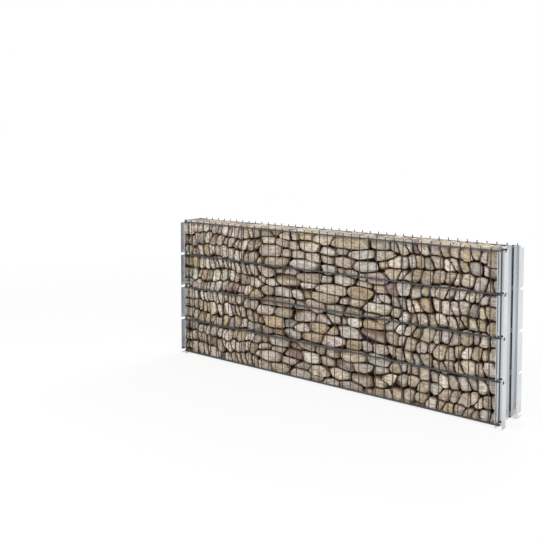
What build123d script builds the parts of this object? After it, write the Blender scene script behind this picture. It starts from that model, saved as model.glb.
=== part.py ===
from build123d import *
import os

# Gabion wall, one bay from ground level up: two galvanised sheet posts, two welded twin-wire mats hooked
# into the posts' notches, and a fill of loose stone between the mats.
# Millimetres. X runs along the wall, Y from the front to the rear, Z up from the ground. The origin is on
# the ground, in the middle of the wall's box.

# Wire mats: uprights welded between twin line wires
upright_count = 41
upright_pitch = 50.0
upright_thickness = 5.0
upright_projection = 15.0
level_count = 5
level_pitch = 200.0
line_wire_thickness = 6.0
line_wire_overrun = 5.0
bottom_wire_height = 12.0
mat_spacing = 186.0
wire_sides = 8

# Posts: two channels of folded sheet, one open to the front and one to the rear, joined by a web plate
sheet_thickness = 2.5
bend_radius = 4.0
channel_width = 35.0
channel_depth = 48.0
mat_inset = 21.0
end_upright_inset = 11.0
post_rise = 10.0
weld_lap = 8.0

# Notches that the line wires lie in, cut into the channel walls from their free edges
notch_headroom = 8.0

# Stone fill, heaped up a little past the middle of the top wires
fill_top_rise = 4.0

# One overrun for all cuts
cut_overrun = 5.0

# Heights worked out from the sizes above
wire_heights = [bottom_wire_height + level * level_pitch for level in range(level_count)]
top_wire_height = wire_heights[-1]
post_height = top_wire_height + post_rise
upright_bottom = bottom_wire_height - line_wire_thickness / 2
upright_height = top_wire_height + upright_projection - upright_bottom
fill_height = top_wire_height + fill_top_rise

# Lengths along the wall: both posts face the same way, so the left web plate shifts the box's middle
mat_centre_x = sheet_thickness / 2
upright_span = (upright_count - 1) * upright_pitch
first_upright_x = mat_centre_x - upright_span / 2
last_upright_x = mat_centre_x + upright_span / 2
line_wire_length = upright_span + 2 * line_wire_overrun
left_channel_x = first_upright_x + end_upright_inset - channel_width / 2
right_channel_x = last_upright_x - end_upright_inset + channel_width / 2

# Depths across the wall
half_post_depth = mat_spacing / 2 + mat_inset
flange_y = half_post_depth - channel_depth
line_wire_offset = (upright_thickness + line_wire_thickness) / 2
mat_inner_reach = upright_thickness / 2 + line_wire_thickness
web_half_width = flange_y + bend_radius + sheet_thickness + weld_lap
notch_height = line_wire_thickness + notch_headroom
notch_run = mat_inset + mat_inner_reach

# The two faces of the wall: the direction in which each looks
faces = {"front": -1, "rear": 1}


def flat_sided_bar(thickness, length):
    """Upright bar whose flat sides lie a thickness apart, so that crossing bars meet face to face."""
    section = RegularPolygon(thickness / 2, wire_sides, major_radius=False, rotation=180 / wire_sides)
    return extrude(section, length)


def lying_bar(thickness, length):
    """The same bar laid along X, with its middle at the origin."""
    return Rot(0, 90, 0) * Pos(0, 0, -length / 2) * flat_sided_bar(thickness, length)


def notch_cutter():
    """Slot along X: its mouth is at y = 0, its lower edge at z = 0, and a round end follows the straight run."""
    end_radius = notch_height / 2
    reach = channel_width + 2 * cut_overrun
    run = Pos(0, (notch_run - cut_overrun) / 2, end_radius) * Box(reach, notch_run + cut_overrun, notch_height)
    end = Pos(0, notch_run, end_radius) * Rot(0, 90, 0) * Cylinder(end_radius, reach)
    return run + end


def channel():
    """Folded channel on the ground, open to -Y, with its flange's outer face at y = 0 and a notch at each level."""
    outer = Rectangle(channel_width, channel_depth, align=(Align.CENTER, Align.MAX))
    outer = fillet(outer.vertices().group_by(Axis.Y)[-1], bend_radius + sheet_thickness)
    hollow_width = channel_width - 2 * sheet_thickness
    hollow = Rectangle(hollow_width, channel_depth, align=(Align.CENTER, Align.MAX))
    hollow = Pos(0, -sheet_thickness) * fillet(hollow.vertices().group_by(Axis.Y)[-1], bend_radius)
    body = extrude(outer - hollow, post_height)
    for height in wire_heights:
        body -= Pos(0, -channel_depth, height - line_wire_thickness / 2) * notch_cutter()
    return body


def web_plate():
    """Flat strip that laps onto both channels' walls, with its face against them at x = 0."""
    return Box(sheet_thickness, 2 * web_half_width, post_height, align=(Align.MAX, Align.CENTER, Align.MIN))


def stone_fill():
    """Mass of stone between the mats, from the left post's web to the right post's web plate."""
    half_depth = mat_spacing / 2 - mat_inner_reach
    left_wall_x = left_channel_x + channel_width / 2
    left_web_x = left_channel_x - channel_width / 2
    right_web_x = right_channel_x - channel_width / 2 - sheet_thickness
    near_corner = (Align.MIN, Align.CENTER, Align.MIN)
    core = Pos(left_wall_x, 0, 0) * Box(right_web_x - left_wall_x, 2 * half_depth, fill_height, align=near_corner)
    pocket = Pos(left_web_x, 0, 0) * Box(channel_width, 2 * flange_y, fill_height, align=near_corner)
    return core + pocket


def write(node, shape):
    """Saves one piece under its own name."""
    export_step(shape, os.path.join("parts", node + ".step"))


os.makedirs("parts", exist_ok=True)

# Posts
for side, channel_x in (("left", left_channel_x), ("right", right_channel_x)):
    write(f"{side}_post_front_channel", Pos(channel_x, -flange_y, 0) * channel())
    write(f"{side}_post_rear_channel", Pos(channel_x, flange_y, 0) * Rot(0, 0, 180) * channel())
    write(f"{side}_post_web_plate", Pos(channel_x - channel_width / 2, 0, 0) * web_plate())

# Mats: each line wire by itself, and the uprights of a mat together, because no upright touches another
for face, looks in faces.items():
    mat_y = looks * mat_spacing / 2
    upright = flat_sided_bar(upright_thickness, upright_height)
    upright_places = [first_upright_x + number * upright_pitch for number in range(upright_count)]
    uprights = [Pos(x, mat_y, upright_bottom) * upright for x in upright_places]
    write(f"{face}_mat_uprights", Compound(children=uprights))
    wire = lying_bar(line_wire_thickness, line_wire_length)
    for number, height in enumerate(wire_heights, start=1):
        outer_y = mat_y + looks * line_wire_offset
        inner_y = mat_y - looks * line_wire_offset
        write(f"{face}_mat_outer_wire_{number}", Pos(mat_centre_x, outer_y, height) * wire)
        write(f"{face}_mat_inner_wire_{number}", Pos(mat_centre_x, inner_y, height) * wire)

# Fill
write("stone_fill", stone_fill())
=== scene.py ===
# %% [markdown]
# # A gabion wall
# One bay of a low wall: two welded wire mats hang in the notches of two zinc-coated posts, and loose
# quarry stones fill the space between the mats. The measured model comes first, as a frame that nothing
# here moves. Every new piece takes its place and size from that frame, so it fits without any adjusting
# by hand.

# %% The measured frame
from math import degrees, pi, radians

import bpy
import numpy as np
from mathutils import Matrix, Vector


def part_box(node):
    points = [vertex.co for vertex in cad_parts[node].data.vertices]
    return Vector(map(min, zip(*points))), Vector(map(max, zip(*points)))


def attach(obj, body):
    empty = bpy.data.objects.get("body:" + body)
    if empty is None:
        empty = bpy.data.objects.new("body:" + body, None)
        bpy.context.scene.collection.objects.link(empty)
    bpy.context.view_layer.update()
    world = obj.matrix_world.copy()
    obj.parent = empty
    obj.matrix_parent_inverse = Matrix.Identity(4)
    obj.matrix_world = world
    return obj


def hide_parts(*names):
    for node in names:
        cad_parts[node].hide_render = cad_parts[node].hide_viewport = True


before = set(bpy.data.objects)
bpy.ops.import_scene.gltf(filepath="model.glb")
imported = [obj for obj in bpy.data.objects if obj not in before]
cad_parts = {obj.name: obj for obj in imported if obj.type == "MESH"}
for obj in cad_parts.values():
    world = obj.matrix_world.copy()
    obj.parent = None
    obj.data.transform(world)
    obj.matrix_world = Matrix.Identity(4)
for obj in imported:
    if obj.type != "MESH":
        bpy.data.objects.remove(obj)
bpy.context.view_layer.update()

# %% [markdown]
# ## The camera
# The wall is seen from the front and the right, with upright edges that stay upright. A level camera does
# that: it stands 1.3 m up, and its picture is shifted down instead of the camera being tipped. A small
# dip brings the wall to the middle of the picture, and is too small to make the posts lean.

# %% Camera at its station point
station_point = (2.345, -3.4165, 1.3003)
turn_left = radians(38.9)
dip = radians(3.5)
picture_side_px = 540
focal_length_px = 769
picture_shift = -0.15
sensor_width_mm = 36.0

camera_data = bpy.data.cameras.new("station_camera")
camera_data.sensor_width = sensor_width_mm
camera_data.lens = focal_length_px / picture_side_px * sensor_width_mm
camera_data.shift_y = picture_shift
camera = bpy.data.objects.new("station_camera", camera_data)
camera.location = station_point
camera.rotation_euler = (pi / 2 - dip, 0, turn_left)
bpy.context.scene.collection.objects.link(camera)
bpy.context.scene.camera = camera
print("lens", round(camera_data.lens, 2), "mm")

# %% [markdown]
# ## From arrays to meshes
# All new pieces are worked out with numpy: whole arrays of points come from a formula, and one helper
# puts them into a mesh. It could be done with mesh operators too, but arrays make hundreds of stones as
# easily as one.

# %% One helper for every new piece

usual_crease = radians(40)


def lay_piece(name, points, faces, material, crease=usual_crease):
    """Puts points (any shape, last axis x y z) and a list of faces into one smooth mesh at the origin.

    Edges that turn by more than the crease angle stay sharp.
    """
    mesh = bpy.data.meshes.new(name)
    mesh.from_pydata(points.reshape(-1, 3).tolist(), [], faces)
    mesh.shade_smooth()
    mesh.set_sharp_from_angle(angle=crease)
    mesh.materials.append(material)
    piece = bpy.data.objects.new(name, mesh)
    bpy.context.scene.collection.objects.link(piece)
    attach(piece, "root")
    print(name, "has", len(mesh.vertices), "points and", len(mesh.polygons), "faces")
    return piece


print("edges stay sharp above", round(degrees(usual_crease)), "degrees")

# %% [markdown]
# ## Finishes that share effects
# Zinc, coating and stone all have soft clouds of tone, a fine grit and a little dust from the ground.
# Each of these effects is a node group, built once, and every material places it with its own scale. A
# group gives only masks and heights. The shader itself stays in the material.

# %% Short words for nodes


def add_node(tree, kind, inputs=None, **settings):
    """Adds a node, sets its properties, and fills each named input with a value or a link."""
    node = tree.nodes.new(kind)
    for setting, value in settings.items():
        setattr(node, setting, value)
    for socket, value in (inputs or {}).items():
        if isinstance(value, bpy.types.NodeSocket):
            tree.links.new(value, node.inputs[socket])
        else:
            node.inputs[socket].default_value = value
    return node


def map_range(tree, value, source, target, smooth=False):
    """Maps a value from one range to another, within the target's ends."""
    kind = "SMOOTHSTEP" if smooth else "LINEAR"
    limits = {"From Min": source[0], "From Max": source[1], "To Min": target[0], "To Max": target[1]}
    inputs = {"Value": value, **limits}
    return add_node(tree, "ShaderNodeMapRange", inputs, interpolation_type=kind).outputs["Result"]


def times(tree, a, b):
    """The product of two values."""
    return add_node(tree, "ShaderNodeMath", {0: a, 1: b}, operation="MULTIPLY").outputs[0]


def mix_colour(tree, mask, a, b):
    """Colour a where the mask is 0 and colour b where it is 1."""
    return add_node(tree, "ShaderNodeMix", {0: mask, 6: a, 7: b}, data_type="RGBA").outputs[2]


def lay_over(tree, base, mask, source, strength, colour, smooth=False):
    """Lays a colour over the base: none of it at the mask's first value, and the strength at its second."""
    return mix_colour(tree, map_range(tree, mask, source, (0, strength), smooth), base, colour)


def tone(red, green, blue):
    """A colour picked on a screen, 0 to 255, turned by the sRGB curve into a shader's linear values."""
    screen = np.array([red, green, blue]) / 255
    linear = np.where(screen <= 0.04045, screen / 12.92, ((screen + 0.055) / 1.055) ** 2.4)
    return (*linear.tolist(), 1.0)


print("half grey on a screen is", round(tone(128, 128, 128)[0], 3), "in a shader")

# %% Node groups for clouds, grit and dust

cloud_edges = (0.34, 0.66)
pit_edges = (0.1, 0.45)
dust_edges = (0.35, 0.75)


def new_group(name, inputs, outputs):
    """An empty node group with float inputs, a Vector input and float outputs."""
    tree = bpy.data.node_groups.new(name, "ShaderNodeTree")
    tree.interface.new_socket("Vector", in_out="INPUT", socket_type="NodeSocketVector")
    for socket, value in inputs.items():
        number = tree.interface.new_socket(socket, in_out="INPUT", socket_type="NodeSocketFloat")
        number.default_value = value
    for socket in outputs:
        tree.interface.new_socket(socket, in_out="OUTPUT", socket_type="NodeSocketFloat")
    return tree, tree.nodes.new("NodeGroupInput").outputs, tree.nodes.new("NodeGroupOutput").inputs


def make_cloud_group():
    """Soft clouds: smooth noise, cut to a mask between 0 and 1."""
    tree, given, result = new_group("soft_clouds", {"Scale": 10.0, "Detail": 3.0}, ["Mask"])
    noise = {"Vector": given["Vector"], "Scale": given["Scale"], "Detail": given["Detail"]}
    cloud = add_node(tree, "ShaderNodeTexNoise", noise).outputs["Fac"]
    tree.links.new(map_range(tree, cloud, cloud_edges, (0, 1), smooth=True), result["Mask"])
    return tree


def make_grit_group():
    """Fine grit: rough noise with small round pits, as a height between 0 and 1."""
    tree, given, result = new_group("fine_grit", {"Scale": 300.0, "Pits": 0.3}, ["Height"])
    noise = {"Vector": given["Vector"], "Scale": given["Scale"], "Detail": 4.0, "Roughness": 0.65}
    grain = add_node(tree, "ShaderNodeTexNoise", noise).outputs["Fac"]
    cells = add_node(tree, "ShaderNodeTexVoronoi", {"Vector": given["Vector"], "Scale": given["Scale"]})
    pits = map_range(tree, cells.outputs["Distance"], pit_edges, (1, 0), smooth=True)
    dents = times(tree, pits, given["Pits"])
    height = add_node(tree, "ShaderNodeMath", {0: grain, 1: dents}, operation="SUBTRACT").outputs[0]
    tree.links.new(height, result["Height"])
    return tree


def make_dust_group():
    """Dust from the ground: full at z = 0, gone at the reach, and broken up by noise."""
    tree, given, result = new_group("ground_dust", {"Reach": 0.25, "Scale": 30.0}, ["Mask"])
    height = add_node(tree, "ShaderNodeSeparateXYZ", {"Vector": given["Vector"]}).outputs["Z"]
    share = add_node(tree, "ShaderNodeMath", {0: height, 1: given["Reach"]}, operation="DIVIDE").outputs[0]
    low = map_range(tree, share, (0, 1), (1, 0), smooth=True)
    noise = {"Vector": given["Vector"], "Scale": given["Scale"], "Detail": 5.0}
    specks = add_node(tree, "ShaderNodeTexNoise", noise).outputs["Fac"]
    broken = map_range(tree, specks, dust_edges, (0, 1))
    tree.links.new(times(tree, low, broken), result["Mask"])
    return tree


soft_clouds = make_cloud_group()
fine_grit = make_grit_group()
ground_dust = make_dust_group()
print("node groups", [group.name for group in bpy.data.node_groups])

# %% Placing a group in a material

earth_brown = tone(96, 78, 58)


def place(tree, group, vector, output, **values):
    """Places a node group in a material, sets its inputs and hands back one output."""
    node = add_node(tree, "ShaderNodeGroup", node_tree=group)
    tree.links.new(vector, node.inputs["Vector"])
    for socket, value in values.items():
        node.inputs[socket].default_value = value
    return node.outputs[output]


def dusty(tree, colour, spot, reach, scale, strength):
    """The colour with dust from the ground laid over it."""
    dust = place(tree, ground_dust, spot, "Mask", Reach=reach, Scale=scale)
    return mix_colour(tree, times(tree, dust, strength), colour, earth_brown)


def new_material(name):
    """A material with its shader and the object's own coordinates."""
    material = bpy.data.materials.new(name)
    material.use_nodes = True
    tree = material.node_tree
    place_in_object = add_node(tree, "ShaderNodeTexCoord").outputs["Object"]
    return material, tree, tree.nodes["Principled BSDF"], place_in_object


def set_shader(tree, shader, **inputs):
    """Fills the shader's sockets with values or links; an underscore in a name stands for a space."""
    for socket, value in inputs.items():
        target = shader.inputs[socket.replace("_", " ")]
        if isinstance(value, bpy.types.NodeSocket):
            tree.links.new(value, target)
        else:
            target.default_value = value


def bump(tree, height, depth, strength):
    """Turns a height between 0 and 1 into a surface normal; depth is in metres."""
    inputs = {"Height": height, "Distance": depth, "Strength": strength}
    return add_node(tree, "ShaderNodeBump", inputs).outputs["Normal"]


print("dust colour", [round(v, 3) for v in earth_brown])

# %% [markdown]
# ## Galvanised posts
# The posts are folded from sheet steel and dipped in zinc. New zinc is a little cloudy, with faint
# crystal spangle, and so bright that the wires beside it show in it as in a mirror: it is all metal, with
# a low roughness. Where a channel's rounded bend meets the web plate, the narrow crevice is painted dark
# in the colour as painted shade. The shape of the posts is right already, so the frame's own pieces stay
# and only get this finish. A spangle could be a picture, but cells of a Voronoi texture need none.

# %% Where the seams run

flange_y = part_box("right_post_rear_channel")[0].y
seam_x = [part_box(f"{side}_post_web_plate")[1].x for side in ("left", "right")]
seam_shade_reach = 0.0048
seam_inset = 0.002
seam_edges = (0.75, 1)


def make_seam_group():
    """Painted shade along Z at (X, +Y) and (X, -Y): full in the middle and gone at the reach."""
    tree, given, result = new_group("seam_shade", {"X": 0.0, "Y": 0.1, "Reach": 0.01}, ["Mask"])
    spot = add_node(tree, "ShaderNodeSeparateXYZ", {"Vector": given["Vector"]}).outputs
    off_x = add_node(tree, "ShaderNodeMath", {0: spot["X"], 1: given["X"]}, operation="SUBTRACT").outputs[0]
    out_y = add_node(tree, "ShaderNodeMath", {0: spot["Y"]}, operation="ABSOLUTE").outputs[0]
    off_y = add_node(tree, "ShaderNodeMath", {0: out_y, 1: given["Y"]}, operation="SUBTRACT").outputs[0]
    offset = add_node(tree, "ShaderNodeCombineXYZ", {"X": off_x, "Y": off_y}).outputs[0]
    distance = add_node(tree, "ShaderNodeVectorMath", {0: offset}, operation="LENGTH").outputs["Value"]
    share = add_node(tree, "ShaderNodeMath", {0: distance, 1: given["Reach"]}, operation="DIVIDE").outputs[0]
    tree.links.new(map_range(tree, share, seam_edges, (1, 0), smooth=True), result["Mask"])
    return tree


seam_shade = make_seam_group()
print("seams at x", [round(x, 4) for x in seam_x], "and y", round(flange_y, 4))

# %% Zinc finish

zinc_tones = (tone(215, 217, 219), tone(226, 228, 230))
spangle_tone = tone(200, 203, 206)
seam_shade_tone = tone(148, 152, 156)
zinc_roughness = (0.06, 0.03)
drawn_out_in_height = (1.0, 1.0, 0.25)


def galvanised_steel(name, shaded_seams):
    """Bright zinc: clouds drawn out in height, spangle, fine grain, painted seam shade, dust at the foot."""
    material, tree, shader, spot = new_material(name)
    drawn_out = add_node(tree, "ShaderNodeMapping", {"Vector": spot, "Scale": drawn_out_in_height})
    clouds = place(tree, soft_clouds, drawn_out.outputs["Vector"], "Mask", Scale=14.0, Detail=4.0)
    crystals = add_node(tree, "ShaderNodeTexVoronoi", {"Vector": spot, "Scale": 130.0}).outputs["Color"]
    spangle = add_node(tree, "ShaderNodeSeparateColor", {"Color": crystals}).outputs["Red"]
    zinc = mix_colour(tree, clouds, *zinc_tones)
    zinc = lay_over(tree, zinc, spangle, (0, 1), strength=0.14, colour=spangle_tone)
    # Painted shade: the crevice where a bend meets the web plate is darkened in the zinc's colour.
    for x in shaded_seams:
        middle = {"X": x + seam_inset, "Y": flange_y + seam_inset}
        scale = place(tree, seam_shade, spot, "Mask", Reach=seam_shade_reach, **middle)
        zinc = lay_over(tree, zinc, scale, (0, 1), strength=0.9, colour=seam_shade_tone)
    grain = place(tree, fine_grit, spot, "Height", Scale=420.0, Pits=0.15)
    set_shader(tree, shader, Base_Color=dusty(tree, zinc, spot, reach=0.12, scale=45.0, strength=0.35),
               Roughness=map_range(tree, clouds, (0, 1), zinc_roughness), Metallic=1.0,
               Normal=bump(tree, grain, depth=0.0002, strength=0.04))
    return material


zinc_finish = galvanised_steel("galvanised_sheet", seam_x)
post_nodes = [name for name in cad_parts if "_post_" in name]
for name in post_nodes:
    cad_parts[name].data.materials.clear()
    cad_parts[name].data.materials.append(zinc_finish)
print("zinc on", len(post_nodes), "post pieces")

# %% [markdown]
# ## Wires of the mats
# A mat is made of round wires: uprights between twin line wires, welded where they touch and then powder
# coated in anthracite. The frame has them as flat-sided bars. Round ones are a profile carried along a
# path: from a small flat end, over a bevel, to the full radius. Curves with a bevel would do as well, but
# one grid for all uprights is a single clean mesh.

# %% Anthracite coating

coat_tones = (tone(41, 45, 49), tone(53, 57, 61))
coat_roughness = (0.36, 0.5)


def powder_coat():
    """Satin anthracite: slight clouds of tone, the small waves of a baked coating, dust near the ground."""
    material, tree, shader, spot = new_material("anthracite_powder_coat")
    clouds = place(tree, soft_clouds, spot, "Mask", Scale=35.0, Detail=3.0)
    coat = mix_colour(tree, clouds, *coat_tones)
    waves = place(tree, fine_grit, spot, "Height", Scale=520.0, Pits=0.1)
    set_shader(tree, shader, Base_Color=dusty(tree, coat, spot, reach=0.2, scale=60.0, strength=0.4),
               Roughness=map_range(tree, clouds, (0, 1), coat_roughness),
               Normal=bump(tree, waves, depth=0.0003, strength=0.3))
    return material


coat_finish = powder_coat()
print("coating", coat_finish.name)

# %% Faces between rings of points

wire_sides = 14


def repeat_faces(faces, copies, points_each):
    """The faces of one shape, repeated: a copy's indices move on by the points of the copies before it."""
    steps = np.arange(copies)[:, None, None] * points_each
    return (faces[None] + steps).reshape(-1, faces.shape[1]).tolist()


def ring_quads(rings, sides):
    """Quads from each ring of points to the next."""
    ring, side = np.mgrid[0:rings - 1, 0:sides]
    after = (side + 1) % sides
    quads = np.stack([ring * sides + side, ring * sides + after,
                      (ring + 1) * sides + after, (ring + 1) * sides + side], axis=-1)
    return quads.reshape(-1, 4)


def tube_faces(tubes, rings, sides):
    """Quads along each tube, and a flat face on both of its ends."""
    first_end = np.arange(sides)[None, ::-1]
    last_end = np.arange(sides)[None] + (rings - 1) * sides
    caps = np.concatenate([first_end, last_end])
    points_each = rings * sides
    quads = ring_quads(rings, sides)
    return repeat_faces(quads, tubes, points_each) + repeat_faces(caps, tubes, points_each)


print("faces of a bar with four rings", len(tube_faces(1, 4, wire_sides)))

# %% Round bars

end_bevel = 0.0007


def round_bars(starts, ends, radius):
    """Round bars at right angles to Y: ring k lies at start + s_k along the bar and has the radius r_k.

    The profile (s, r) starts on a small flat end, widens over a bevel to the full radius and ends the
    same way. A point of a ring is its middle + r_k (cos a * across + sin a * Y).
    """
    run = ends - starts
    length = np.linalg.norm(run, axis=1)
    axis = run / length[:, None]
    across = np.cross([0.0, 1.0, 0.0], axis)
    along = np.stack([0 * length, 0 * length + end_bevel, length - end_bevel, length], axis=1)
    radii = radius - end_bevel * np.array([1, 0, 0, 1])
    angle = np.linspace(0, 2 * pi, wire_sides, endpoint=False)
    middles = starts[:, None] + along[..., None] * axis[:, None]
    spokes = np.cos(angle)[:, None] * across[:, None] + np.sin(angle)[:, None] * np.array([0.0, 1.0, 0.0])
    return middles[:, :, None] + radii[:, None, None] * spokes[:, None]


def lay_bars(node, starts, ends, radius):
    """Round bars that stand for one node of the frame."""
    points = round_bars(starts, ends, radius)
    faces = tube_faces(len(starts), points.shape[1], wire_sides)
    piece = lay_piece(node + "_round", points, faces, coat_finish)
    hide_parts(node)
    return piece


print("bevel on a bar's ends", end_bevel, "m")

# %% Uprights and line wires of both mats

upright_count = 41
level_count = 5
places_across = ("outer", "inner")

mats = {}
for face in ("front", "rear"):
    low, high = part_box(f"{face}_mat_uprights")
    radius = (high.y - low.y) / 2
    upright_x = np.linspace(low.x + radius, high.x - radius, upright_count)
    feet = np.stack(np.broadcast_arrays(upright_x, (low.y + high.y) / 2, low.z), axis=1)
    tips = feet + np.array([0, 0, high.z - low.z])
    lay_bars(f"{face}_mat_uprights", feet, tips, radius)
    mats[face] = {"x": upright_x, "y": feet[0, 1], "radius": radius, "heights": []}
    for level in range(1, level_count + 1):
        for side in places_across:
            node = f"{face}_mat_{side}_wire_{level}"
            low, high = (np.array(corner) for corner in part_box(node))
            middle = (low + high) / 2
            half_run = np.array([(high[0] - low[0]) / 2, 0, 0])
            lay_bars(node, (middle - half_run)[None], (middle + half_run)[None], (high[2] - low[2]) / 2)
        mats[face]["heights"].append(middle[2])
print("wire levels", [round(height, 3) for height in mats["front"]["heights"]])

# %% [markdown]
# ## Weld spots
# Each upright is welded to the line wires in front of it and behind it. The weld squeezes out a small
# flat bead that the coating covers. There are hundreds of them, so each is a squashed ball of a few dozen
# faces: a grid of angles, from pole to pole and round the axis.

# %% Balls from a grid of angles

bead_rings = 3
bead_segments = 8


def ball_directions(rings, segments):
    """Unit vectors from pole to pole along Y: (sin f cos a, -cos f, sin f sin a). A pole is one point."""
    slant = pi * np.arange(1, rings + 1)[:, None] / (rings + 1)
    angle = 2 * pi * np.arange(segments)[None] / segments
    x = np.sin(slant) * np.cos(angle)
    y = -np.cos(slant) + 0 * angle
    z = np.sin(slant) * np.sin(angle)
    grid = np.stack([x, y, z], axis=-1).reshape(-1, 3)
    return np.concatenate([[[0, -1, 0]], grid, [[0, 1, 0]]])


def ball_faces(rings, segments, copies):
    """Quads between the rings and a fan of triangles at each pole, for all copies."""
    quads = 1 + np.roll(ring_quads(rings, segments)[:, ::-1], 1, axis=1)
    step = np.arange(segments)
    turned = (step + 1) % segments
    first_fan = np.stack([0 * step, 1 + step, 1 + turned], axis=1)
    last_ring = 1 + (rings - 1) * segments
    last_fan = np.stack([0 * step + 1 + rings * segments, last_ring + turned, last_ring + step], axis=1)
    points_each = rings * segments + 2
    fans = np.concatenate([first_fan, last_fan])
    return repeat_faces(quads, copies, points_each) + repeat_faces(fans, copies, points_each)


print("points of a bead", len(ball_directions(bead_rings, bead_segments)))

# %% A bead at every crossing

bead_half_size = np.array([0.0036, 0.0017, 0.0036])


def lay_beads(name, x, y, z, half_size, material):
    """A squashed ball at every place with one of the given x, one of the y and one of the z."""
    spots = np.stack(np.meshgrid(x, y, z, indexing="ij"), axis=-1).reshape(-1, 3)
    beads = spots[:, None] + ball_directions(bead_rings, bead_segments) * half_size
    return lay_piece(name, beads, ball_faces(bead_rings, bead_segments, len(spots)), material)


for face, mat in mats.items():
    contact_y = mat["y"] + mat["radius"] * np.array([-1, 1])
    lay_beads(f"{face}_mat_weld_spots", mat["x"], contact_y, mat["heights"], bead_half_size, coat_finish)

# %% [markdown]
# ## Stitch welds
# Web plate and channels are not welded all along. Short stitches near each wire level hold them, and on
# the open side of the right post they show as pairs of small beads across the dark seam. They are the
# same squashed balls, a little longer in height, in zinc without the painted seam shade. A bump in the
# zinc could show them too, but real beads catch the light from every side.

# %% Beads in the open post's seams

stitch_half_size = np.array([0.0023, 0.0023, 0.0036])
stitch_rises = np.array([0.001, 0.0125])
stitch_inset = 0.0018

stitch_x = [seam_x[1] + stitch_inset]
stitch_y = (flange_y + stitch_inset) * np.array([-1, 1])
stitch_z = (np.array(mats["front"]["heights"])[:, None] + stitch_rises).ravel()
stitch_z = stitch_z[stitch_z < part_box("right_post_web_plate")[1].z]
lay_beads("right_post_stitch_welds", stitch_x, stitch_y, stitch_z, stitch_half_size,
          galvanised_steel("galvanised_weld", []))

# %% [markdown]
# ## Stones: how they are laid
# The fill is hand-laid quarry stone. Towards the posts the stones are tall and narrow, in twelve rough
# courses; in the middle of the wall they are long and low, in fifteen. Scattering ready-made stones would
# leave holes or let them cut into each other. Instead each stone gets its own room: planes between its
# middle and its neighbours' middles. Everything is counted first, one unit for a stone along, a layer
# deep or a sixteenth of the height, and is turned into metres at the end.

# %% Room for the stones

fill_low, fill_high = (np.array(corner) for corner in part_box("stone_fill"))
pocket_corner = np.array(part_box("left_post_front_channel")[1])
core_low = np.array([pocket_corner[0], fill_low[1], fill_low[2]])
core_high = fill_high.copy()

height_units = 16
layer_count = 3
wall_stations = 801
width_stations = [-0.48, -0.36, 0.34, 0.46]
widths_there = [0.038, 0.108, 0.108, 0.049]


def stone_width(x):
    """Usual width of a stone at x: straight lines between the widths at the stations."""
    return np.interp(x, width_stations, widths_there)


wall_x = np.linspace(core_low[0], core_high[0], wall_stations)
wall_steps = np.diff(wall_x) / stone_width((wall_x[1:] + wall_x[:-1]) / 2)
wall_count = np.concatenate([[0.0], np.cumsum(wall_steps)])
unit_height = (core_high[2] - core_low[2]) / height_units
layer_depth = (core_high[1] - core_low[1]) / layer_count
print("stones along the wall", round(wall_count[-1], 1), "unit of height", round(unit_height, 4))

# %% Courses of uneven stones

chance = np.random.default_rng(11)
course_wave = 0.2
wave_along = 0.55
wave_up = 0.5
lay_jitter = 0.2
middle_zone = (-0.43, 0.41)
zone_courses = [12, 15, 12]
zone_shares = [(0.6, 1.45), (0.4, 2.0), (0.6, 1.45)]


def lay_courses(start, end, layers, courses, shares):
    """Middles and spans of the stones from start to end, counted in stones: (u along, t deep, v up).

    In a course, a stone's middle is the running sum of the widths before it plus half its own. Courses
    wave along the wall, v = rise (course + 1/2) + wave sin(along u + up course), and every middle is
    shaken a little. A span is a stone's width, depth and height.
    """
    rise = height_units / courses
    widths = chance.uniform(*shares, (layers, courses, max(1, round(end - start))))
    widths *= (end - start) / widths.sum(axis=2, keepdims=True)
    u = start + np.cumsum(widths, axis=2) - widths / 2
    layer, course = np.mgrid[0:layers, 0:courses][..., None]
    v = rise * (course + 0.5) + course_wave * np.sin(wave_along * u + wave_up * course)
    t = layer + 0.5 + 0 * u
    v += chance.uniform(-lay_jitter, lay_jitter, v.shape)
    t += chance.uniform(-lay_jitter, lay_jitter, t.shape)
    spans = np.stack([widths, np.ones_like(u), np.full_like(u, rise)], axis=-1)
    return np.stack([u, t, v], axis=-1).reshape(-1, 3), spans.reshape(-1, 3)


zone_edges = np.interp([core_low[0], *middle_zone, core_high[0]], wall_x, wall_count)
zones = []
for start, end, courses, shares in zip(zone_edges, zone_edges[1:], zone_courses, zone_shares):
    zones.append(lay_courses(start, end, layer_count, courses, shares))
middles = np.concatenate([zone_middles for zone_middles, zone_spans in zones])
spans = np.concatenate([zone_spans for zone_middles, zone_spans in zones])
print("stones laid", len(middles))

# %% [markdown]
# ## Stones: their shape
# A broken stone is a lump with a few flat faces and worn edges. The room that its neighbours leave it is
# a block with flat sides, and a few chance planes chip its corners. The distance from the middle to the
# surface, in any direction, is the least distance to these planes. A soft least, a sum of high powers,
# rounds the edges as wear does. It never reaches past the planes, so no two stones touch. Between courses
# the planes lie flatter, as the beds of a laid wall do.

# %% Planes round each stone

neighbours_each = 40
joint_half_gap = 0.0023
bed_slant = 0.5
least_step_to_next_course = 0.55
least_and_most_share = (0.34, 0.66)
chips_each = 7
deepest_and_lightest_chip = (0.46, 0.86)
most_set_back = np.array([0.03, 0.11, 0.02, 0.03, 0.11, 0.05])


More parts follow.
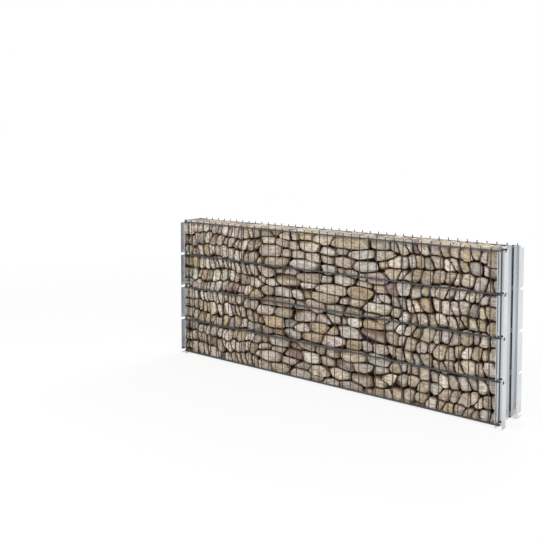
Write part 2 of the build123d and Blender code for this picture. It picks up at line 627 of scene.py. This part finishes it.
def neighbour_planes(middles, spans, shown, stone_size):
    """Normals and distances of the planes between each shown stone and its nearest neighbours.

    A plane crosses the line to the neighbour at 1 / 2 + (a^2 - b^2) / 2d^2 of its length d, where a and b
    are the two half widths, so a wide stone takes more room. Between courses the plane lies flatter than at
    right angles to that line. Half of the joint comes off.
    """
    half_widths = spans[:, 0] / 2
    towards = middles[None] - middles[shown][:, None]
    distance = np.linalg.norm(towards, axis=2)
    nearest = np.argsort(distance, axis=1)[:, 1:neighbours_each + 1]
    d = np.take_along_axis(distance, nearest, axis=1)
    line = np.take_along_axis(towards, nearest[..., None], axis=1)
    share = 0.5 + (half_widths[shown][:, None] ** 2 - half_widths[nearest] ** 2) / (2 * d ** 2)
    share = np.clip(share, *least_and_most_share)
    next_course = np.abs(line[..., 2]) > least_step_to_next_course
    normals = line.copy()
    normals[..., 0] *= np.where(next_course, bed_slant, 1)
    normals /= np.linalg.norm(normals, axis=2, keepdims=True)
    joint = joint_half_gap * np.linalg.norm(normals / stone_size[:, None], axis=2)
    return normals, share * (line * normals).sum(axis=2) - joint


def room_planes(middles, room):
    """The room's sides as seen from each middle: left, front, foot, right, rear, top, moved in a little."""
    sides = np.concatenate([-np.eye(3), np.eye(3)])
    offsets = np.concatenate([middles, np.array(room) - middles], axis=1)
    offsets = offsets - most_set_back * chance.uniform(0, 1, offsets.shape)
    return np.broadcast_to(sides, (len(middles), *sides.shape)), offsets


def chip_planes(spans):
    """Chance planes that knock off corners, counted in each stone's own width, depth and height."""
    normals = chance.normal(size=(len(spans), chips_each, 3))
    normals /= np.linalg.norm(normals, axis=2, keepdims=True)
    offsets = chance.uniform(*deepest_and_lightest_chip, normals.shape[:2])
    normals /= spans[:, None]
    length = np.linalg.norm(normals, axis=2)
    return normals / length[..., None], offsets / length


print("planes round a stone", neighbours_each + len(most_set_back) + chips_each)

# %% From planes to a rounded surface

stone_rings = 9
stone_segments = 18
softest_and_hardest = (16.0, 40.0)
capping_hardness = 28.0
deepest_dent = 0.09
dent_waves = 7
dent_pitch = 3.4
dent_gain = 1.8


def dents(directions, stones):
    """Shallow hollows between 0 and 1: the mean of a few sine waves across the directions."""
    pitch = chance.normal(0, dent_pitch, (stones, dent_waves, 3))
    phase = chance.uniform(0, 2 * pi, (stones, dent_waves))
    waves = np.sin(np.einsum("dk,swk->sdw", directions, pitch) + phase[:, None])
    return 0.5 + 0.5 * np.clip(waves.mean(axis=2) * dent_gain, -1, 1)


def stone_surfaces(middles, planes, capping):
    """Points of each stone: middle + r n for every direction n, with r = (sum (n.m / h)^p)^(-1/p).

    The sum runs over the planes that n looks towards, with normals m and distances h. The power p is the
    stone's hardness, and dents come off r. Capping stones are picked for flat tops and square edges.
    """
    directions = ball_directions(stone_rings, stone_segments)
    normals = np.concatenate([normals for normals, offsets in planes], axis=1)
    offsets = np.concatenate([offsets for normals, offsets in planes], axis=1)
    hardness = np.where(capping, capping_hardness, chance.uniform(*softest_and_hardest, len(middles)))
    facing = np.einsum("dk,spk->sdp", directions, normals) / offsets[:, None]
    powers = np.maximum(facing, 0) ** hardness[:, None, None]
    reach = powers.sum(axis=2) ** (-1 / hardness[:, None])
    reach *= 1 - deepest_dent * dents(directions, len(middles))
    return middles[:, None] + reach[..., None] * directions


print("points of a stone", len(ball_directions(stone_rings, stone_segments)))

# %% Stones in metres

tiny_step = 0.01
capping_depth = 1.1
capping_relief = 0.5
lean_reach = 0.018
lean_wave = 0.27
lean_fade = 0.15
lean_turn = 5
lean_turn_pitch = 1.7


def make_stones(middles, spans, shown, room, to_metres):
    """Surfaces of the shown stones, in metres.

    The metres of one count at a stone turn the joint's width into counts. Capping stones are chipped less.
    """
    shown_middles = middles[shown]
    size_of_step = to_metres(shown_middles + tiny_step) - to_metres(shown_middles - tiny_step)
    stone_size = size_of_step / (2 * tiny_step)
    capping = shown_middles[:, 2] > room[2] - capping_depth
    chip_normals, chip_offsets = chip_planes(spans[shown])
    chip_offsets += capping_relief * capping[:, None]
    planes = [neighbour_planes(middles, spans, shown, stone_size),
              room_planes(shown_middles, room), (chip_normals, chip_offsets)]
    return to_metres(stone_surfaces(shown_middles, planes, capping))


def wall_metres(counted):
    """From stone counts to metres: along by the running count of widths, deep by layers, up by units.

    Stones lean on each other, so x gains reach * sin(2 pi z / wave + turn sin(pitch x)), less at the posts.
    """
    x = np.interp(counted[..., 0], wall_count, wall_x)
    y = core_low[1] + counted[..., 1] * layer_depth
    z = core_low[2] + counted[..., 2] * unit_height
    from_post = np.minimum(x - core_low[0], core_high[0] - x)
    fade = np.clip(from_post / lean_fade, 0, 1)
    turn = lean_turn * np.sin(lean_turn_pitch * x)
    lean = lean_reach * fade * np.sin(2 * pi * z / lean_wave + turn)
    return np.stack([x + lean, y, z], axis=-1)


print("the first stone's middle", wall_metres(middles[0]).round(4))

# %% [markdown]
# ## Stones: their finish
# The quarry gives cream, beige, grey and ochre stones, with a few blue-grey and mauve ones. Each could
# have a material of its own. Instead each carries three chance numbers in its mesh, and one material
# reads them: the first picks its colour, the second how much iron stains it, and the third its lightness.
# All three together shift and turn the pattern, so that no cloud or streak runs on from one stone into
# the next. Painted shade darkens them towards the joints: brown on the rims, soil and shade deeper in.

# %% Stone finish

stone_tones = [(0.00, tone(224, 217, 204)), (0.20, tone(216, 201, 178)), (0.40, tone(204, 187, 163)),
               (0.56, tone(214, 196, 186)), (0.70, tone(208, 182, 142)), (0.78, tone(186, 178, 154)),
               (0.87, tone(188, 184, 177)), (0.96, tone(98, 103, 109)), (0.975, tone(156, 110, 118))]
cloud_tone = tone(232, 225, 213)
streak_tone = tone(122, 105, 86)
stain_tone = tone(164, 126, 88)
speck_tone = tone(80, 70, 60)
# Painted shade towards the joints: the rim tone, then soil darkened as shade deeper in.
rim_shade_tone = tone(118, 90, 61)
joint_soil_and_shade_tone = tone(106, 83, 61)
rim_shade_depths = (0.002, 0.014)
joint_soil_and_shade_depths = (0.009, 0.026)
darkest_and_lightest = (0.78, 1.23)
stone_roughness = (0.92, 0.8)
pattern_shift = (7.0, 7.0, 7.0)
bedding_stretch = (1, 1, 3)
lump_share = 3.6


def quarry_stone():
    """Dry stone: own tone, clouds, bedding streaks, iron stains, specks, painted shade and soil at joints.
    """
    material, tree, shader, spot = new_material("quarry_stone")
    chances = add_node(tree, "ShaderNodeAttribute", attribute_name="stone_chance").outputs["Vector"]
    split = add_node(tree, "ShaderNodeSeparateXYZ", {"Vector": chances}).outputs
    both = {0: chances, 1: pattern_shift}
    shift = add_node(tree, "ShaderNodeVectorMath", both, operation="MULTIPLY").outputs[0]
    own_spot = add_node(tree, "ShaderNodeVectorMath", {0: spot, 1: shift}, operation="ADD").outputs[0]
    ramp = add_node(tree, "ShaderNodeValToRGB", {"Fac": split["X"]})
    ramp.color_ramp.interpolation = "CONSTANT"
    stops = ramp.color_ramp.elements
    while len(stops) < len(stone_tones):
        stops.new(1.0)
    for stop, (position, colour) in zip(stops, stone_tones):
        stop.position = position
        stop.color = colour
    clouds = place(tree, soft_clouds, own_spot, "Mask", Scale=38.0, Detail=5.0)
    stone = lay_over(tree, ramp.outputs["Color"], clouds, (0, 1), strength=0.45, colour=cloud_tone)
    turned = {"Vector": own_spot, "Rotation": shift, "Scale": bedding_stretch}
    bedding = add_node(tree, "ShaderNodeMapping", turned).outputs["Vector"]
    streaks = place(tree, soft_clouds, bedding, "Mask", Scale=34.0, Detail=8.0)
    stone = lay_over(tree, stone, streaks, (0.3, 1), strength=0.55, colour=streak_tone)
    stains = place(tree, soft_clouds, own_spot, "Mask", Scale=17.0, Detail=6.0)
    stained = times(tree, map_range(tree, stains, (0.5, 1), (0, 0.5)), split["Y"])
    stone = mix_colour(tree, stained, stone, stain_tone)
    specks = place(tree, fine_grit, own_spot, "Height", Scale=150.0, Pits=0.5)
    stone = lay_over(tree, stone, specks, (0.42, 0.2), strength=0.48, colour=speck_tone)
    light = map_range(tree, split["Z"], (0, 1), darkest_and_lightest)
    stone = add_node(tree, "ShaderNodeVectorMath", {0: stone, "Scale": light}, operation="SCALE").outputs[0]
    # Painted shade: darker with depth behind the open side, brown on the rims, soil and shade in the joints.
    depth = add_node(tree, "ShaderNodeAttribute", attribute_name="depth_for_painted_shade").outputs["Fac"]
    stone = lay_over(tree, stone, depth, rim_shade_depths, strength=0.72, colour=rim_shade_tone, smooth=True)
    stone = lay_over(tree, stone, depth, joint_soil_and_shade_depths, strength=0.92, colour=joint_soil_and_shade_tone, smooth=True)
    lumps = times(tree, place(tree, fine_grit, own_spot, "Height", Scale=62.0, Pits=0.4), lump_share)
    relief = add_node(tree, "ShaderNodeMath", {0: specks, 1: lumps}).outputs[0]
    set_shader(tree, shader, Base_Color=stone, Roughness=map_range(tree, clouds, (0, 1), stone_roughness),
               Specular_IOR_Level=0.3, Normal=bump(tree, relief, depth=0.0024, strength=0.85))
    return material


stone_finish = quarry_stone()
print("stone tones", len(stone_tones))

# %% Front, rear and top stones

stone_crease = radians(70)
top_heap = 0.06
top_reach = 2.3


def lay_stones(name, points):
    """One mesh of stones, with chance numbers and the depth behind the nearest open side at each point."""
    stones, points_each = points.shape[:2]
    faces = ball_faces(stone_rings, stone_segments, stones)
    piece = lay_piece(name, points, faces, stone_finish, stone_crease)
    chances = np.repeat(chance.uniform(0, 1, (stones, 1, 3)), points_each, axis=1)
    open_sides = np.stack([core_high[1] - np.abs(points[..., 1]), core_high[2] - points[..., 2]])
    marks = piece.data.attributes
    marks.new("stone_chance", "FLOAT_VECTOR", "POINT").data.foreach_set("vector", chances.ravel())
    # This depth behind the nearest open side drives the painted shade towards the joints.
    marks.new("depth_for_painted_shade", "FLOAT", "POINT").data.foreach_set("value", open_sides.min(axis=0).ravel())
    return piece


wall_room = (wall_count[-1], layer_count, height_units + top_heap)
layer_of = np.floor(middles[:, 1])
near_top = middles[:, 2] > height_units - top_reach
stone_groups = {"front_stones": layer_of == 0, "rear_stones": layer_of == layer_count - 1,
                "top_stones": (layer_of == 1) & near_top}
for name, members in stone_groups.items():
    shown = np.flatnonzero(members)
    piece = lay_stones(name, make_stones(middles, spans, shown, wall_room, wall_metres))
    if name == "front_stones":
        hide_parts("stone_fill")

# %% [markdown]
# ## Pocket and core
# The left post's hollow side is filled as well: a narrow pocket whose stones show from above. Behind the
# faces of the wall nobody sees single stones, only darkness and soil between them, so more stones there
# would be wasted. A core closes the view: a rounded outline carried along the wall, with its surface made
# uneven by waves, in dark soil that is partly painted shade. A second, low one is the bed of chippings
# that settles between the lowest stones.

# %% Stones in the left post's pocket

pocket_low = np.array([fill_low[0], pocket_corner[1], fill_low[2]])
pocket_high = np.array([pocket_corner[0], -pocket_corner[1], fill_high[2]])
pocket_room = (1, layer_count, height_units)


def pocket_metres(counted):
    """From stone counts to metres: equal shares of the pocket's sides."""
    return pocket_low + counted * (pocket_high - pocket_low) / np.array(pocket_room)


pocket_middles, pocket_spans = lay_courses(0, *pocket_room, zone_shares[0])
shown = np.flatnonzero(pocket_middles[:, 2] > height_units - top_reach)
lay_stones("pocket_stones", make_stones(pocket_middles, pocket_spans, shown, pocket_room, pocket_metres))

# %% Soil and chippings behind the stones

core_layer_share = 0.34
core_top_drop = 0.45
core_end_gap = 0.006
foot_set_back = 0.014
foot_height = 0.02
core_stations = 240
core_outline_points = 56
corner_power = 0.25
core_lumps = 0.004
core_waves = ((95, 3), (61, -5))
# The soil tone is partly painted shade where the core shows between the stones.
core_soil_and_shade_tone = tone(96, 75, 56)
chipping_tone = tone(144, 126, 103)
soil_roughness = (0.98, 0.88)


def packed_soil_and_shade():
    """Dark soil with paler chippings; on the core its darkness is partly painted shade."""
    material, tree, shader, spot = new_material("packed_soil_and_shade")
    chippings = place(tree, soft_clouds, spot, "Mask", Scale=60.0, Detail=5.0)
    grit = place(tree, fine_grit, spot, "Height", Scale=120.0, Pits=0.6)
    colour = lay_over(tree, core_soil_and_shade_tone, chippings, (0, 1), strength=0.6, colour=chipping_tone)
    set_shader(tree, shader, Base_Color=colour, Roughness=map_range(tree, chippings, (0, 1), soil_roughness),
               Specular_IOR_Level=0.2, Normal=bump(tree, grit, depth=0.003, strength=0.8))
    return material


def core_surface(half_depth, height):
    """A rounded outline carried along X: (cos a, sin a), stretched to a box by the fourth root.

    Sine waves along X and round the outline make the surface uneven.
    """
    x = np.linspace(fill_low[0] + core_end_gap, core_high[0] - core_end_gap, core_stations)[:, None]
    angle = np.linspace(0, 2 * pi, core_outline_points, endpoint=False)[None]
    boxed_y = np.sign(np.cos(angle)) * np.abs(np.cos(angle)) ** corner_power
    boxed_z = np.sign(np.sin(angle)) * np.abs(np.sin(angle)) ** corner_power
    lumps = core_lumps * sum(np.sin(pitch * x + turns * angle) for pitch, turns in core_waves)
    y = boxed_y * half_depth + lumps * np.cos(angle)
    z = height / 2 * (1 + boxed_z) + np.maximum(lumps * np.sin(angle), 0)
    return np.stack(np.broadcast_arrays(x, y, z), axis=-1)


soil_and_shade_finish = packed_soil_and_shade()
core_half_depth = core_layer_share * layer_depth
core_top = core_high[2] - core_top_drop * unit_height
foot_half_depth = core_high[1] - foot_set_back
core_faces = tube_faces(1, core_stations, core_outline_points)
# Painted shade in part: the core's dark soil stands for the shade deep among the hidden stones.
lay_piece("fill_core", core_surface(core_half_depth, core_top), core_faces, soil_and_shade_finish)
lay_piece("foot_chippings", core_surface(foot_half_depth, foot_height), core_faces, soil_and_shade_finish)

# %% [markdown]
# ## Floor, background and light
# The wall stands on a plain pale floor in front of a white background, in soft studio light. The world
# lights it evenly from all round. A large soft lamp from the front left gives the stones their roundness,
# one from the right lights the open post, and one from behind lights the rear face. The floor turns into
# plain white far away, so that no horizon shows. A curved backdrop would do that too, but its bend would
# show from the other sides.

# %% Floor

floor_half_side = 40.0
near_white_share = 0.82
floor_fade = (1.6, 5.0)
floor_grey = (0.86, 0.86, 0.86, 1)
floor_points = floor_half_side * np.array([[-1, -1, 0], [1, -1, 0], [1, 1, 0], [-1, 1, 0]])


def seen_directly(tree):
    """1 for what the camera, a mirror or a glass sees, and 0 for light on its way between surfaces."""
    rays = add_node(tree, "ShaderNodeLightPath").outputs
    seen = rays["Is Camera Ray"]
    for kind in ("Is Glossy Ray", "Is Transmission Ray"):
        seen = add_node(tree, "ShaderNodeMath", {0: seen, 1: rays[kind]}, operation="MAXIMUM").outputs[0]
    return seen


def studio_floor():
    """Pale floor that takes a light shadow near the wall and is plain white far from it."""
    material, tree, shader, spot = new_material("studio_floor")
    set_shader(tree, shader, Base_Color=floor_grey, Roughness=0.9, Specular_IOR_Level=0.1)
    white = add_node(tree, "ShaderNodeEmission", {"Strength": 1.0}).outputs[0]
    distance = add_node(tree, "ShaderNodeVectorMath", {0: spot}, operation="LENGTH").outputs["Value"]
    far = map_range(tree, distance, floor_fade, (near_white_share, 1), smooth=True)
    veil = times(tree, far, seen_directly(tree))
    both = add_node(tree, "ShaderNodeMixShader", {0: veil, 1: shader.outputs[0], 2: white})
    tree.links.new(both.outputs[0], tree.nodes["Material Output"].inputs["Surface"])
    return material


floor_mesh = bpy.data.meshes.new("studio_floor")
floor_mesh.from_pydata(floor_points.tolist(), [], [(0, 1, 2, 3)])
floor_mesh.materials.append(studio_floor())
floor = bpy.data.objects.new("studio_floor", floor_mesh)
bpy.context.scene.collection.objects.link(floor)
print("floor side", 2 * floor_half_side, "m")

# %% World and lamps

ambient_level = 0.44
lamps = {"key_softbox": ((-2.2, -3.5, 3.0), 1.6, 110.0), "side_softbox": ((3.4, -1.9, 2.4), 2.0, 100.0),
         "rear_softbox": ((-0.8, 3.8, 3.0), 2.0, 120.0)}
lamp_target = np.array([0.0, 0.0, 0.4])

world = bpy.data.worlds.new("white_studio")
world.use_nodes = True
world_tree = world.node_tree
level = map_range(world_tree, seen_directly(world_tree), (0, 1), (ambient_level, 1.0))
world_tree.nodes["Background"].inputs["Color"].default_value = (1, 1, 1, 1)
world_tree.links.new(level, world_tree.nodes["Background"].inputs["Strength"])
bpy.context.scene.world = world

for name, (spot, side, power) in lamps.items():
    lamp = bpy.data.lights.new(name, "AREA")
    lamp.size = side
    lamp.energy = power
    lamp_object = bpy.data.objects.new(name, lamp)
    lamp_object.location = spot
    aim = Vector(lamp_target - np.array(spot))
    lamp_object.rotation_euler = aim.to_track_quat("-Z", "Y").to_euler()
    bpy.context.scene.collection.objects.link(lamp_object)
print("ambient", ambient_level, "lamps", list(lamps))

# %% [markdown]
# ## Picture settings
# The Standard view shows colours about as they are written.

# %% View transform

bpy.context.scene.view_settings.view_transform = "Standard"
